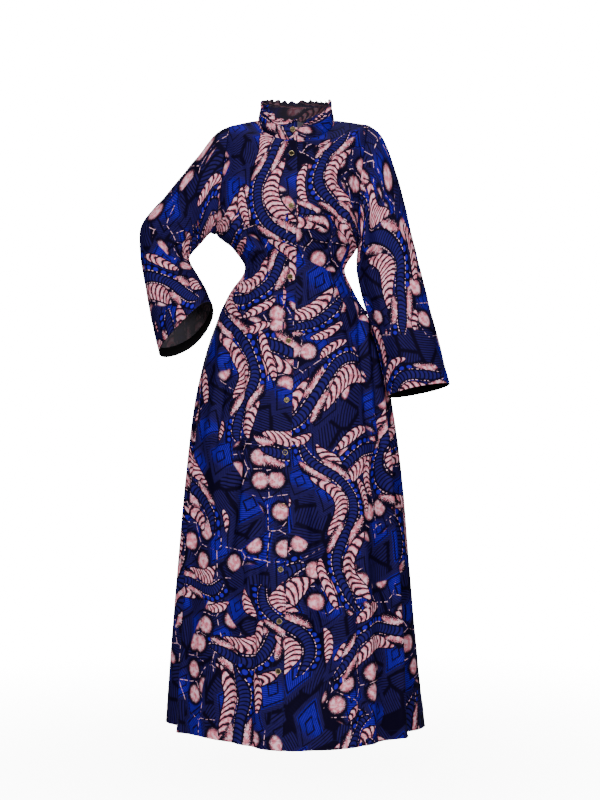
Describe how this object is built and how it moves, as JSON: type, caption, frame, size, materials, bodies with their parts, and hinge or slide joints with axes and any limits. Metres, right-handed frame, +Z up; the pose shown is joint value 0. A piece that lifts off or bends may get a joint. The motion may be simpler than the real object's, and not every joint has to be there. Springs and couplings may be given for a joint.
{
  "type": "ankara shirt dress",
  "caption": "Full-length hollow shirt dress in printed cotton, with a front opening, ruffled stand collar, gathered waist and bell sleeves, in its worn form.",
  "frame": {"origin": "middle of the neck's base, level with the top of the shoulders, where the wearer's shoulders hold the dress", "axes": "+Z up, the front of the dress faces -Y, +X towards the wearer's left"},
  "size_m": [0.7279, 0.6436, 1.4778],
  "materials": {
    "print_cotton": "printed wax cotton, faint sheen",
    "dark_band": "matt black cotton band",
    "antique_brass": "antique brass"
  },
  "bodies": {
    "root": {"front_right": "print_cotton", "front_left": "print_cotton", "back": "print_cotton", "sleeve_right": "print_cotton", "sleeve_left": "print_cotton", "cuff_band_right": "dark_band", "cuff_band_left": "dark_band", "collar_stand": "print_cotton", "collar_ruffle": "print_cotton", "snap_01": "antique_brass", "snap_02": "antique_brass", "snap_03": "antique_brass", "snap_04": "antique_brass", "snap_05": "antique_brass", "snap_06": "antique_brass", "snap_07": "antique_brass", "snap_08": "antique_brass", "snap_09": "antique_brass", "snap_10": "antique_brass", "snap_11": "antique_brass"}
  },
  "joints": []
}
